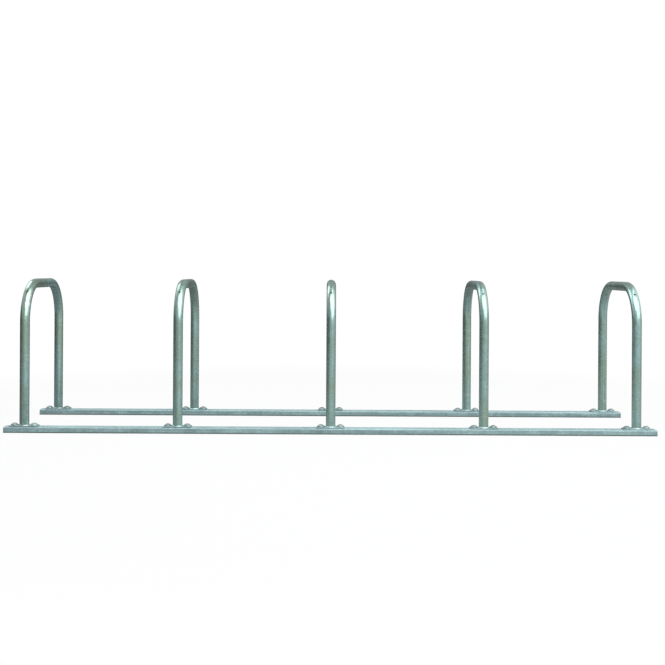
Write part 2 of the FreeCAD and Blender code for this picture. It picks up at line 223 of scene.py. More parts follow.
# %% [markdown]
# ## Coordinates for the zinc
#
# The patterns in the zinc read Object coordinates, so they stay on the steel in any view. On a bent tube the
# lines have to follow the bend. A UV map could carry them, but the nodes can work them out without one. They
# "unbend" the tube: from a point's y and z they find how far along the tube it is and how far from the bend's
# centre. Front and rear legs are set apart along that length, so that they don't share a pattern.

# %% Coordinates that follow a bent tube
SIDE_OFFSET = 3.0
NEVER_ZERO = 0.0001


def unbent_coordinates(wiring, position):
    """(across, distance from the bend's centre, distance along the tube) of a point on a hoop."""
    x, y, z = wiring.separate(position)
    over_y = wiring.math("SUBTRACT", wiring.math("ABSOLUTE", y), BEND_START_Y)
    over_z = wiring.math("SUBTRACT", z, BEND_START_Z)
    outside_y = wiring.math("MAXIMUM", over_y, NEVER_ZERO)
    outside_z = wiring.math("MAXIMUM", over_z, 0.0)
    reach = wiring.math("SQRT", wiring.math("ADD", wiring.math("MULTIPLY", outside_y, outside_y),
                                            wiring.math("MULTIPLY", outside_z, outside_z)))
    turned = wiring.math("MULTIPLY", wiring.math("ARCTAN2", outside_z, outside_y), BEND_RADIUS)
    up_the_leg = wiring.math("MINIMUM", z, BEND_START_Z)
    over_the_top = wiring.math("MAXIMUM", wiring.math("MULTIPLY", over_y, -1.0), 0.0)
    side = wiring.math("MULTIPLY", wiring.math("SIGN", y), SIDE_OFFSET)
    return wiring.combine(x, reach, wiring.chain("ADD", up_the_leg, turned, over_the_top, side))


print("front and rear legs set apart by", 2 * SIDE_OFFSET, "m along the tube")

# %% [markdown]
# ## Galvanised steel: its own tint
#
# The rack is dipped in molten zinc. What the eye reads as galvanised is: slow cloudy changes from greenish to
# bluish grey over a hand's breadth, crystal patches a centimetre wide (spangle) that differ a little in grey
# and gloss, narrow stripes where the zinc ran off, and faint lines along the tube from when it was drawn. A
# photograph of zinc would repeat and stretch on the bends. Noise doesn't, and three scales of it, drawn out
# along each piece, give the stripes and lines. Each range below says at which value of its noise a mark
# begins and at which it is full, and each pair of tones is what the coat's colour is multiplied by.

# %% Clouds, stripes and lines along a piece
CLOUD_SCALE = 7.0
CLOUD_RANGE = (0.74, 1.26)
RUN_RANGE = (0.34, 0.66)
RUN_TONES = (0.86, 1.10)
GRAIN_RANGE = (0.25, 0.75)
GRAIN_TONES = (0.93, 1.06)

# Scale of each pattern in x, y and z, or across, out and along on a tube. It is small along the piece.
STRIPES = {"tube": (55.0, 55.0, 1.6), "rail": (2.0, 60.0, 60.0), "none": (12.0, 12.0, 12.0)}
RUNS = {"tube": (125.0, 125.0, 1.1), "rail": (1.6, 70.0, 110.0), "none": (20.0, 20.0, 20.0)}
GRAIN = {"tube": (260.0, 260.0, 5.0), "rail": (4.0, 240.0, 240.0), "none": (120.0, 120.0, 120.0)}


def drawn_out(wiring, flow, scales, detail, roughness=0.5):
    """Noise with its own scale in each direction, so that it stretches along the piece."""
    return wiring.noise(wiring.vector("MULTIPLY", flow, scales), 1.0, detail, roughness)


print("stripes on a tube:", round(1000 / STRIPES["tube"][0]), "mm wide, runs:",
      round(1000 / RUNS["tube"][0]), "mm, lines:", round(1000 / GRAIN["tube"][0], 1), "mm")

# %% Spangle
SPANGLE_SCALE = 88.0
SPANGLE_DARKER = 0.10
SPANGLE_PALER = 0.08
EDGE_WANDER_SCALE = 70.0
EDGE_WANDER = (0.009, 0.009, 0.009)


def spangle_crystals(wiring, flow):
    """A random number for each crystal patch. The patches' edges wander."""
    bent_flow = wiring.vector("ADD", flow, wiring.wander(flow, EDGE_WANDER_SCALE, 2.0, EDGE_WANDER))
    crystals = wiring.add("ShaderNodeTexVoronoi", {"Vector": bent_flow, "Scale": SPANGLE_SCALE,
                                                   "Randomness": 1.0})
    return wiring.separate(crystals.outputs["Color"])[0]


def zinc_tint(wiring, tints, clouds, stripes, crystal, runs, grain, spangle):
    """The coat's own colour, before anything lies on it."""
    colour = wiring.mix_colour(wiring.ramp(wiring.math("ADD", clouds, stripes), *CLOUD_RANGE), *tints)
    spangle_tones = (1.0 - SPANGLE_DARKER * spangle, 1.0 + SPANGLE_PALER * spangle)
    colour = wiring.shade(colour, wiring.ramp(crystal, 0.0, 1.0, *spangle_tones))
    colour = wiring.shade(colour, wiring.ramp(runs, *RUN_RANGE, *RUN_TONES))
    return wiring.shade(colour, wiring.ramp(grain, *GRAIN_RANGE, *GRAIN_TONES))


print("spangle patches about", round(1000 / SPANGLE_SCALE), "mm wide")

# %% [markdown]
# ## Galvanised steel: marks on the tubes
#
# A few pale and dark bands lie across each hoop, where it hung or was wiped, and there is a dark smudge round
# the small vent in each front bend, where zinc drained out. Painting them by hand would tie them to one hoop.
# The bands come from a noise that changes fast along the tube and slowly from hoop to hoop, and the smudge
# from the distance to the vent, so each hoop gets its own.

# %% Bands across a tube
BAND_ALONG = 17.0
BAND_ACROSS = 1.6
BAND_BREAK_SCALE = 60.0
BAND_BREAKS = (0.40, 0.55)
PALE_BAND = (0.74, 0.80, 0.80, 1.0)
PALE_BAND_RANGE = (0.67, 0.74)
PALE_BAND_STRENGTH = 0.45
DARK_BAND = (0.17, 0.20, 0.17, 1.0)
DARK_BAND_RANGE = (0.31, 0.24)
DARK_BAND_STRENGTH = 0.38


def banded(wiring, colour, flow):
    """Pale and dark bands across a tube, broken up by finer noise."""
    x, _, along = wiring.separate(flow)
    level = wiring.combine(wiring.math("MULTIPLY", x, BAND_ACROSS), 0.0,
                           wiring.math("MULTIPLY", along, BAND_ALONG))
    bands = wiring.noise(level, 1.0, detail=1.0)
    broken = wiring.ramp(wiring.noise(flow, BAND_BREAK_SCALE, detail=3.0), *BAND_BREAKS)
    for band_range, strength, band_colour in ((PALE_BAND_RANGE, PALE_BAND_STRENGTH, PALE_BAND),
                                              (DARK_BAND_RANGE, DARK_BAND_STRENGTH, DARK_BAND)):
        mask = wiring.chain("MULTIPLY", wiring.ramp(bands, *band_range), broken, strength)
        colour = wiring.mix_colour(mask, colour, band_colour)
    return colour


print("the noise of the bands changes about every", round(1000 / BAND_ALONG), "mm along the tube")

# %% Smudge round the vent
VENT_ALONG = BEND_START_Z + BEND_RADIUS * math.pi / 4
SMUDGE = (0.16, 0.19, 0.18, 1.0)
SMUDGE_RANGE = (0.018, 0.006)
SMUDGE_STRENGTH = 0.60
SMUDGE_SQUEEZE = 0.6
SMUDGE_WANDER_SCALE = 45.0
SMUDGE_WANDER = 0.016


def smudged_at_vent(wiring, colour, flow):
    """A dark patch round the vent of each front bend, longer along the tube than across it."""
    x, _, along = wiring.separate(flow)
    across = wiring.math("WRAP", x, HOOP_SPACING / 2, -HOOP_SPACING / 2)
    past_vent = wiring.math("SUBTRACT", wiring.math("ADD", along, SIDE_OFFSET), VENT_ALONG)
    place = wiring.combine(across, wiring.math("MULTIPLY", past_vent, SMUDGE_SQUEEZE), 0.0)
    wander = wiring.wander(flow, SMUDGE_WANDER_SCALE, 3.0, (SMUDGE_WANDER, SMUDGE_WANDER, 0.0))
    place = wiring.vector("ADD", place, wander)
    from_vent = wiring.distance(place, (SMUDGE_WANDER / 2, SMUDGE_WANDER / 2, 0.0))
    mask = wiring.math("MULTIPLY", wiring.ramp(from_vent, *SMUDGE_RANGE), SMUDGE_STRENGTH)
    return wiring.mix_colour(mask, colour, SMUDGE)


print("vent at", round(VENT_ALONG, 3), "m along the front leg")

# %% [markdown]
# ## Galvanised steel: weathering and painted shade
#
# Years outdoors leave pale powdery oxide in patches and specks, and small dark specks of dirt. The colour
# also
# holds painted shade: a dark line along the ground, darker undersides, and darker patches on the upright
# faces of rails and plates, which leave their tops paler. Which way a face looks comes from the normal, and
# how low it is from the height, so each mark lands in its place and no piece needs a mask of its own.

# %% Oxide
OXIDE = (0.78, 0.82, 0.80, 1.0)
OXIDE_PATCH_SCALE = 26.0
OXIDE_PATCHES = (0.60, 0.80)
OXIDE_SPECK_SCALE = 190.0
OXIDE_SPECKS = (0.70, 0.76)


def oxide_masks(wiring, position, amount):
    """Where the powder lies, and its specks alone."""
    patches = wiring.ramp(wiring.noise(position, OXIDE_PATCH_SCALE, detail=5.0, roughness=0.65),
                          *OXIDE_PATCHES)
    specks = wiring.ramp(wiring.noise(position, OXIDE_SPECK_SCALE), *OXIDE_SPECKS)
    return wiring.math("MULTIPLY", wiring.math("MAXIMUM", patches, specks), amount, clamp=True), specks


print("oxide colour:", OXIDE[:3])

# %% Dirt specks and painted shade
# Dark colour of the dirt specks, and of the painted shade along the ground and on undersides
DIRT_AND_SHADE = (0.085, 0.095, 0.075, 1.0)
SHADE_PATCH_SCALE = 45.0
# Painted shade along the ground: the lowest few millimetres of each piece are darker, in patches
GROUND_SHADE_HEIGHTS = (0.0085, 0.0035)
GROUND_SHADE_PATCHES = (0.3, 0.6)
GROUND_SHADE_STRENGTH = (2.3, 3.2)
# Painted shade on undersides: faces that look down are darker, in patches
UNDERSIDE_RANGE = (-0.15, -0.85)
UNDERSIDE_PATCHES = (0.2, 0.6)
UNDERSIDE_STRENGTH = (0.55, 1.0)
DARK_SPECK_SCALE = 150.0
DARK_SPECKS = (0.70, 0.78)


def dirt_and_painted_shade(wiring, position, normal_z, amount):
    """Painted shade along the ground and on undersides, and small dark specks of dirt."""
    height = wiring.separate(position)[2]
    shade_patches = wiring.noise(position, SHADE_PATCH_SCALE, detail=4.0, roughness=0.6)
    ground_shade = wiring.math("MULTIPLY", wiring.ramp(height, *GROUND_SHADE_HEIGHTS),
                       wiring.ramp(shade_patches, *GROUND_SHADE_PATCHES, *GROUND_SHADE_STRENGTH))
    specks = wiring.ramp(wiring.noise(position, DARK_SPECK_SCALE, detail=3.0, roughness=0.6), *DARK_SPECKS)
    painted_shade = wiring.math("MULTIPLY", wiring.ramp(normal_z, *UNDERSIDE_RANGE),
                       wiring.ramp(shade_patches, *UNDERSIDE_PATCHES, *UNDERSIDE_STRENGTH))
    return wiring.math("MULTIPLY", wiring.chain("MAXIMUM", ground_shade, specks, painted_shade), amount, clamp=True)


print("damp line up to", GROUND_SHADE_HEIGHTS[0] * 1000, "mm above the ground")

# %% Painted shade on upright faces
# Colour of the painted shade on the upright faces of rails and plates
UPRIGHT_SHADE = (0.155, 0.22, 0.225, 1.0)
UPRIGHT_RANGE = (0.8, 0.3)
UPRIGHT_SHADE_SCALE = 14.0
UPRIGHT_SHADE_RANGE = (0.35, 0.65)
UPRIGHT_SHADE_STRENGTH = (0.38, 0.68)


def shaded_upright_faces(wiring, colour, position, normal_z):
    """Painted shade: the upright faces of rails and plates are darker than their tops, in patches."""
    upright = wiring.ramp(wiring.math("ABSOLUTE", normal_z), *UPRIGHT_RANGE)
    patches = wiring.noise(position, UPRIGHT_SHADE_SCALE, detail=5.0, roughness=0.6)
    painted_shade = wiring.math("MULTIPLY", upright, wiring.ramp(patches, *UPRIGHT_SHADE_RANGE, *UPRIGHT_SHADE_STRENGTH))
    return wiring.mix_colour(painted_shade, colour, UPRIGHT_SHADE)


print("upright_shade_patches cover", UPRIGHT_SHADE_STRENGTH[0], "to", UPRIGHT_SHADE_STRENGTH[1], "of an upright face's colour")

# %% [markdown]
# ## Galvanised steel: gloss, relief and the whole finish
#
# Clean zinc is a satin metal, while oxide and dirt are dull and not metal, so gloss and metal follow the same
# masks as the colour. The painted shade along the ground and on undersides shares the dirt's mask, so it is
# also made dull and less metal. The relief is finer than a render's triangles can be, so it is bump: slow
# unevenness of the coat, orange peel, the drawing lines, crystal edges and pimples. One function joins all of
# it, because every piece went through the same bath, and each kind of piece sets how much of each it has.

# %% Gloss and relief
CRYSTAL_GLOSS = 0.05
CLOUD_GLOSS_RANGE = (0.3, 0.7)
CLOUD_GLOSS = (-0.04, 0.05)
OXIDE_DULLS = 0.28
DIRT_AND_SHADE_DULLS = 0.22
UNEVEN_SCALE = 38.0
UNEVEN_DEPTH = 0.00025
PEEL_SCALE = 420.0
PEEL_DEPTH = 0.00001
LINE_DEPTH = 0.00001
PIMPLE_DEPTH = 0.00002


def zinc_gloss(wiring, roughness, crystal, clouds, oxide, dirt_and_shade):
    """Roughness: a little different on each crystal and cloud, and more under oxide, dirt and the painted
    shade.
    """
    clean = wiring.math("ADD", wiring.ramp(crystal, 0.0, 1.0, roughness - CRYSTAL_GLOSS,
                                           roughness + CRYSTAL_GLOSS),
                        wiring.ramp(clouds, *CLOUD_GLOSS_RANGE, *CLOUD_GLOSS))
    powdered = wiring.math("ADD", clean, wiring.math("MULTIPLY", oxide, OXIDE_DULLS))
    return wiring.math("ADD", powdered, wiring.math("MULTIPLY", dirt_and_shade, DIRT_AND_SHADE_DULLS), clamp=True)


def zinc_relief(wiring, flow, grain, crystal, specks):
    """Four bumps on top of each other, as (height, strength, depth in metres)."""
    uneven = wiring.noise(flow, UNEVEN_SCALE)
    peel = wiring.noise(flow, PEEL_SCALE, detail=3.0, roughness=0.6)
    pimples = wiring.math("ADD", crystal, specks)
    bumps = [(uneven, 1.0, UNEVEN_DEPTH), (peel, 1.0, PEEL_DEPTH), (grain, 1.0, LINE_DEPTH),
             (pimples, 0.6, PIMPLE_DEPTH)]
    below = {}
    for height, strength, depth in bumps:
        bump = wiring.add("ShaderNodeBump", {"Height": height, "Strength": strength, "Distance": depth,
                                             **below})
        below = {"Normal": bump.outputs[0]}
    return bump.outputs[0]


print("gloss and relief helpers ready")

# %% The galvanised material
COVERED_METAL = 0.6


def galvanised(name, tints, metallic, roughness, oxide, dirt_and_shade_amount, lines="none", spangle=1.0, specular=0.5):
    """Zinc-coated steel. lines is "tube", "rail" or "none": which way the faint drawing lines run."""
    material, wiring = new_finish(name)
    coordinates = wiring.add("ShaderNodeTexCoord").outputs
    position = coordinates["Object"]
    normal_z = wiring.separate(coordinates["Normal"])[2]
    flow = unbent_coordinates(wiring, position) if lines == "tube" else position

    clouds = wiring.noise(flow, CLOUD_SCALE, detail=3.0, roughness=0.55)
    stripes = drawn_out(wiring, flow, STRIPES[lines], detail=2.0)
    runs = drawn_out(wiring, flow, RUNS[lines], detail=1.0)
    grain = drawn_out(wiring, flow, GRAIN[lines], detail=3.0, roughness=0.6)
    crystal = spangle_crystals(wiring, flow)
    colour = zinc_tint(wiring, tints, clouds, stripes, crystal, runs, grain, spangle)
    if lines == "tube":
        colour = smudged_at_vent(wiring, banded(wiring, colour, flow), flow)

    oxide_mask, specks = oxide_masks(wiring, position, oxide)
    # Dirt specks, with painted shade: a dark line along the ground and darker undersides
    dirt_and_shade_mask = dirt_and_painted_shade(wiring, position, normal_z, dirt_and_shade_amount)
    colour = wiring.mix_colour(oxide_mask, colour, OXIDE)
    colour = wiring.mix_colour(dirt_and_shade_mask, colour, DIRT_AND_SHADE)
    # Rails and plates also get painted shade on their upright faces
    if lines == "rail":
        colour = shaded_upright_faces(wiring, colour, position, normal_z)

    covered = wiring.math("MAXIMUM", oxide_mask, dirt_and_shade_mask)
    surface = wiring.add("ShaderNodeBsdfPrincipled", {
        "Base Color": colour,
        "Metallic": wiring.math("MULTIPLY_ADD", covered, -COVERED_METAL * metallic, metallic),
        "Roughness": zinc_gloss(wiring, roughness, crystal, clouds, oxide_mask, dirt_and_shade_mask),
        "Normal": zinc_relief(wiring, flow, grain, crystal, specks),
        "Specular IOR Level": specular})
    wiring.end(surface.outputs[0])
    print("material:", name, "with", len(wiring.tree.nodes), "nodes")
    return material


# %% One finish for each kind of piece
GREEN_GREY = (0.36, 0.50, 0.41, 1.0)
BLUE_GREY = (0.39, 0.60, 0.60, 1.0)
RAIL_GREY = (0.42, 0.58, 0.595, 1.0)
RAIL_PALE = (0.48, 0.665, 0.68, 1.0)
PLATE_GREY = (0.33, 0.46, 0.48, 1.0)
PLATE_PALE = (0.41, 0.56, 0.58, 1.0)
HEAD_GREY = (0.25, 0.33, 0.33, 1.0)
HEAD_PALE = (0.35, 0.44, 0.44, 1.0)
WELD_GREY = (0.44, 0.50, 0.49, 1.0)

# The amount that sets each finish's dirt specks also sets its painted shade along the ground and on
# undersides
finish_values = {
    "galvanised_tube": {"tints": (GREEN_GREY, BLUE_GREY), "metallic": 0.84, "roughness": 0.265,
                        "oxide": 0.22, "dirt_and_shade_amount": 0.5, "lines": "tube", "spangle": 0.35},
    "galvanised_rail": {"tints": (RAIL_GREY, RAIL_PALE), "metallic": 0.15, "roughness": 0.48,
                        "oxide": 0.35, "dirt_and_shade_amount": 0.35, "lines": "rail", "specular": 0.25},
    "galvanised_plate": {"tints": (PLATE_GREY, PLATE_PALE), "metallic": 0.20, "roughness": 0.42,
                         "oxide": 0.35, "dirt_and_shade_amount": 0.5, "lines": "rail", "specular": 0.3},
    "galvanised_weld": {"tints": (RAIL_PALE, WELD_GREY), "metallic": 0.6, "roughness": 0.30,
                        "oxide": 0.5, "dirt_and_shade_amount": 0.2, "spangle": 0.6},
    "galvanised_fixing": {"tints": (HEAD_GREY, HEAD_PALE), "metallic": 0.45, "roughness": 0.46,
                          "oxide": 0.2, "dirt_and_shade_amount": 0.5, "spangle": 0.5},
}
finishes = {slot: galvanised(slot + "_finish", **values) for slot, values in finish_values.items()}

slot_of = {part["node"]: part["material_slot"] for part in frame["record"]["subparts"]}
for node_name, piece in nodes.items():
    for material_slot in piece.material_slots:
        material_slot.material = finishes[slot_of[node_name]]
print("dressed nodes:", len(slot_of))

# %% [markdown]
# ## Weld beads
#
# Each leg is welded to its plate all round. A hand-made bead is a row of overlapping ripples, like fallen
# coins. A texture could only fake it, so the bead is swept as geometry: a small section is carried round a
# circle and swells and shrinks a little with the angle. Geometry Nodes fit well, because the same ring is
# then set down at all ten legs, each turned by its own random angle.

# %% Helpers that run a Geometry Nodes tree and keep its result as a plain mesh
SHARP_ANGLE = math.radians(38.0)


def new_tree(name, inputs):
    """A Geometry Nodes tree with a geometry input and output, and an input for each (kind, value)."""
    tree = bpy.data.node_groups.new(name, "GeometryNodeTree")
    tree.interface.new_socket(name="Geometry", in_out="INPUT", socket_type="NodeSocketGeometry")
    tree.interface.new_socket(name="Geometry", in_out="OUTPUT", socket_type="NodeSocketGeometry")
    for label, (kind, value) in inputs.items():
        socket = tree.interface.new_socket(name=label, in_out="INPUT", socket_type="NodeSocket" + kind)
        socket.default_value = value
    wiring = Wiring(tree)
    source = wiring.add("NodeGroupInput").outputs
    result = wiring.add("NodeGroupOutput").inputs[0]
    return tree, wiring, source, result


def section_object(name, points, closed):
    """A polyline in the XY plane as a mesh of loose edges, for a tree to sweep."""
    count = len(points)
    edges = [(index, (index + 1) % count) for index in range(count if closed else count - 1)]
    mesh = bpy.data.meshes.new(name)
    mesh.from_pydata([(x, y, 0.0) for x, y in points], edges, [])
    piece = bpy.data.objects.new(name, mesh)
    bpy.context.scene.collection.objects.link(piece)
    return piece


def keep_result(piece, tree, inputs):
    """Runs the tree on the piece with these inputs, and keeps what it makes as the piece's own mesh."""
    modifier = piece.modifiers.new(tree.name, "NODES")
    modifier.node_group = tree
    for item in tree.interface.items_tree:
        if item.in_out == "INPUT" and item.name in inputs:
            modifier[item.identifier] = inputs[item.name][1]
    graph = bpy.context.evaluated_depsgraph_get()
    mesh = bpy.data.meshes.new_from_object(piece.evaluated_get(graph))
    mesh.name = piece.name
    mesh.shade_smooth()
    mesh.set_sharp_from_angle(angle=SHARP_ANGLE)
    piece.modifiers.remove(modifier)
    piece.data = mesh
    mesh.calc_loop_triangles()
    solid = bmesh.new()
    solid.from_mesh(mesh)
    open_edges = sum(1 for edge in solid.edges if not edge.is_manifold)
    print(piece.name, "triangles:", len(mesh.loop_triangles), "open edges:", open_edges,
          "volume in cm3:", round(solid.calc_volume(signed=True) * 1e6, 2))
    solid.free()
    return piece


print("edges sharper than", round(math.degrees(SHARP_ANGLE)), "degrees stay sharp")

# %% Nodes that both trees use
ROW_INPUTS = {"Hoops": ("Int", HOOPS), "Hoop spacing": ("Float", HOOP_SPACING),
              "Leg spacing": ("Float", 2 * LEG_Y)}


def legs_grid(wiring, source):
    """One point for each leg: a grid as long as the row of hoops and as deep as a hoop."""
    hoops = source["Hoops"]
    length = wiring.math("MULTIPLY", wiring.math("SUBTRACT", hoops, 1.0), source["Hoop spacing"])
    grid = wiring.add("GeometryNodeMeshGrid", {"Size X": length, "Size Y": source["Leg spacing"],
                                               "Vertices X": hoops, "Vertices Y": 2})
    return grid.outputs[0]


def swept_ring(wiring, section, radius, steps):
    """Carries a section round an upright axis. The section's x points outwards and its y up."""
    circle = wiring.add("GeometryNodeCurvePrimitiveCircle", {"Resolution": steps, "Radius": radius},
                        mode="RADIUS").outputs[0]
    upright = wiring.add("GeometryNodeSetCurveNormal", {"Curve": circle}, mode="Z_UP").outputs[0]
    profile = wiring.add("GeometryNodeMeshToCurve", {"Mesh": section}).outputs[0]
    profile = wiring.add("GeometryNodeTransform", {"Geometry": profile, "Scale": (1.0, -1.0, 1.0)}).outputs[0]
    return wiring.add("GeometryNodeCurveToMesh", {"Curve": upright, "Profile Curve": profile}).outputs[0]


def moved(wiring, geometry, x, y, z):
    return wiring.add("GeometryNodeTransform", {"Geometry": geometry,
                                                "Translation": wiring.combine(x, y, z)}).outputs[0]


def finish_tree(wiring, instances, source, result):
    """Makes real meshes of the instances, gives them their finish and joins them to the tree's output."""
    real = wiring.add("GeometryNodeRealizeInstances", {"Geometry": instances}).outputs[0]
    dressed = wiring.add("GeometryNodeSetMaterial", {"Geometry": real, "Material": source["Finish"]})
    wiring.tree.links.new(dressed.outputs[0], result)


print("geometry helpers ready")

# %% Weld bead sizes and section
WELD_LEG = 0.0050
WELD_ROOT = 0.0002
WELD_CROWN = ((0.22, 0.93), (0.48, 0.74), (0.74, 0.48), (0.93, 0.22))
BEAD_STEPS = 288
RIPPLES = 34.0
RIPPLE_DEPTH = 0.1
RIPPLE_SLANT = 90.0
BEAD_SEED = 4

# The crown is given in shares of the weld's leg: out from the tube and up from the plate
bead_section = [(-WELD_ROOT, WELD_LEG)]
bead_section += [(WELD_LEG * out, WELD_LEG * up) for out, up in WELD_CROWN]
bead_section += [(WELD_LEG, -WELD_ROOT), (-WELD_ROOT, -WELD_ROOT)]
print("weld leg:", WELD_LEG * 1000, "mm, ripples:", RIPPLES)

# %% Weld bead tree
bead_inputs = {
    **ROW_INPUTS, "Tube radius": ("Float", TUBE_RADIUS), "Height": ("Float", PLATE_TOP),
    "Steps": ("Int", BEAD_STEPS), "Ripples": ("Float", RIPPLES), "Ripple depth": ("Float", RIPPLE_DEPTH),
    "Seed": ("Int", BEAD_SEED), "Finish": ("Material", finishes["galvanised_weld"])}
bead_tree, wiring, source, result = new_tree("weld_bead_rings", bead_inputs)
ring = swept_ring(wiring, source["Geometry"], source["Tube radius"], source["Steps"])

# Every point moves towards the bead's root, by where in its ripple it lies
place = wiring.add("GeometryNodeInputPosition").outputs[0]
x, y, z = wiring.separate(place)
root = wiring.scaled(wiring.vector("NORMALIZE", wiring.combine(x, y, 0.0)), source["Tube radius"])
turn = wiring.math("DIVIDE", wiring.math("ARCTAN2", y, x), math.tau)
ripple = wiring.math("FRACT", wiring.math("ADD", wiring.math("MULTIPLY", turn, source["Ripples"]),
                                          wiring.math("MULTIPLY", z, RIPPLE_SLANT)))
swell = wiring.math("MULTIPLY_ADD", wiring.math("SQRT", ripple), source["Ripple depth"],
                    wiring.math("SUBTRACT", 1.0, source["Ripple depth"]))
rippled = wiring.vector("ADD", root, wiring.scaled(wiring.vector("SUBTRACT", place, root), swell))
ring = wiring.add("GeometryNodeSetPosition", {"Geometry": ring, "Position": rippled}).outputs[0]

# The Random Value node has sockets for each type of value. A float's highest is input 3, and it is output 1
random_turn = wiring.add("FunctionNodeRandomValue", {"Seed": source["Seed"], 3: math.tau}, data_type="FLOAT")
rings = wiring.add("GeometryNodeInstanceOnPoints", {
    "Points": legs_grid(wiring, source), "Instance": ring,
    "Rotation": wiring.combine(0.0, 0.0, random_turn.outputs[1])}).outputs[0]
rings = wiring.add("GeometryNodeTranslateInstances", {
    "Instances": rings, "Translation": wiring.combine(0.0, 0.0, source["Height"]),
    "Local Space": False}).outputs[0]
finish_tree(wiring, rings, source, result)
weld_beads = keep_result(section_object("weld_beads", bead_section, True), bead_tree, bead_inputs)

# %% Weld beads take the place of the plain rings
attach(weld_beads, "root")
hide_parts(*[name for name in nodes if name.startswith("weld_bead_")])

# %% [markdown]
# ## Bolts
#
# Two round-headed bolts hold each plate, one on each side of the leg. A square neck under the head sits in
# square holes and keeps the bolt from turning, and the threaded shank ends in a nut inside the rail. The head
# and shank are one half-section swept once round, as on a lathe. The thread is a real helix: a small
# trapezoid carried along a spiral, which a bump texture couldn't show from below. The pair is then set down
# at each leg, and some pairs are turned half round.

# %% Bolt sizes and half-section
HEAD_RADIUS = 0.0190
RIM_HEIGHT = 0.0030
DOME_HEIGHT = bolt_high.z - PLATE_TOP - RIM_HEIGHT
RIM_ROUND = 0.0005
NECK_SIDE = 0.0160
NECK_HEIGHT = 0.0090
CORE_RADIUS = 0.0068
TIP_CHAMFER = 0.0012
DOME_STEPS = 12
BOLT_OFFSET = (bolt_high.x - bolt_low.x) / 2 - HEAD_RADIUS

dome_radius = (HEAD_RADIUS ** 2 + DOME_HEIGHT ** 2) / (2 * DOME_HEIGHT)
dome_angle = math.asin(HEAD_RADIUS / dome_radius)
bolt_section = []
for step in range(DOME_STEPS):
    angle = dome_angle * step / DOME_STEPS
    bolt_section.append((dome_radius * math.sin(angle), bolt_high.z - dome_radius * (1.0 - math.cos(angle))))
bolt_section += [
    (HEAD_RADIUS - RIM_ROUND, PLATE_TOP + RIM_HEIGHT + RIM_ROUND / 2),
    (HEAD_RADIUS, PLATE_TOP + RIM_HEIGHT - RIM_ROUND),
    (HEAD_RADIUS, PLATE_TOP + RIM_ROUND),
    (HEAD_RADIUS - RIM_ROUND, PLATE_TOP),
    (CORE_RADIUS, PLATE_TOP),
    (CORE_RADIUS, bolt_low.z + TIP_CHAMFER),
    (CORE_RADIUS - TIP_CHAMFER, bolt_low.z),
    (0.0, bolt_low.z),
]
print("bolt offset from the leg:", round(BOLT_OFFSET, 4), "head height:", round(bolt_high.z - PLATE_TOP, 4))

# %% Thread sizes
THREAD_RADIUS = 0.0079
THREAD_PITCH = 0.0020
THREAD_BASE = 0.0017
THREAD_STEPS = 20

# Shares: the crest's width by the base's, and how much of the ridge's depth lies inside the core
THREAD_CREST = 0.15
THREAD_SUNK = 0.1

THREAD_BOTTOM = bolt_low.z + TIP_CHAMFER
THREAD_HEIGHT = PLATE_TOP - NECK_HEIGHT - bolt_low.z - 2 * TIP_CHAMFER
THREAD_DEPTH = (THREAD_RADIUS - CORE_RADIUS) / (1.0 - THREAD_SUNK)
print("thread turns:", round(THREAD_HEIGHT / THREAD_PITCH, 1))

# %% Bolt tree: head and shank, neck and thread
HEAD_STEPS = 40
MERGE_DISTANCE = 0.00002
PAIR_SEED = 2

bolt_inputs = {
    **ROW_INPUTS, "Bolt offset": ("Float", BOLT_OFFSET), "Head radius": ("Float", HEAD_RADIUS),
    "Steps": ("Int", HEAD_STEPS), "Neck side": ("Float", NECK_SIDE), "Neck height": ("Float", NECK_HEIGHT),
    "Neck top": ("Float", PLATE_TOP), "Thread bottom": ("Float", THREAD_BOTTOM),
    "Thread height": ("Float", THREAD_HEIGHT), "Thread turns": ("Float", THREAD_HEIGHT / THREAD_PITCH),
    "Thread radius": ("Float", CORE_RADIUS), "Thread depth": ("Float", THREAD_DEPTH),
    "Thread base": ("Float", THREAD_BASE), "Thread steps": ("Int", THREAD_STEPS),
    "Seed": ("Int", PAIR_SEED), "Finish": ("Material", finishes["galvanised_fixing"])}
bolt_tree, wiring, source, result = new_tree("round_head_bolts", bolt_inputs)

# The section is drawn from the bolt's axis, but the ring that carries it is as wide as the head
to_ring = wiring.math("MULTIPLY", source["Head radius"], -1.0)
lathe_section = wiring.add("GeometryNodeSetPosition", {
    "Geometry": source["Geometry"], "Offset": wiring.combine(to_ring, 0.0, 0.0)}).outputs[0]
turned = swept_ring(wiring, lathe_section, source["Head radius"], source["Steps"])
turned = wiring.add("GeometryNodeMergeByDistance", {"Geometry": turned,
                                                    "Distance": MERGE_DISTANCE}).outputs[0]

neck_side, neck_height = source["Neck side"], source["Neck height"]
neck_size = wiring.combine(neck_side, neck_side, neck_height)
neck_middle = wiring.math("SUBTRACT", source["Neck top"], wiring.math("MULTIPLY", neck_height, 0.5))
neck = wiring.add("GeometryNodeMeshCube", {"Size": neck_size}).outputs[0]
neck = moved(wiring, neck, 0.0, 0.0, neck_middle)

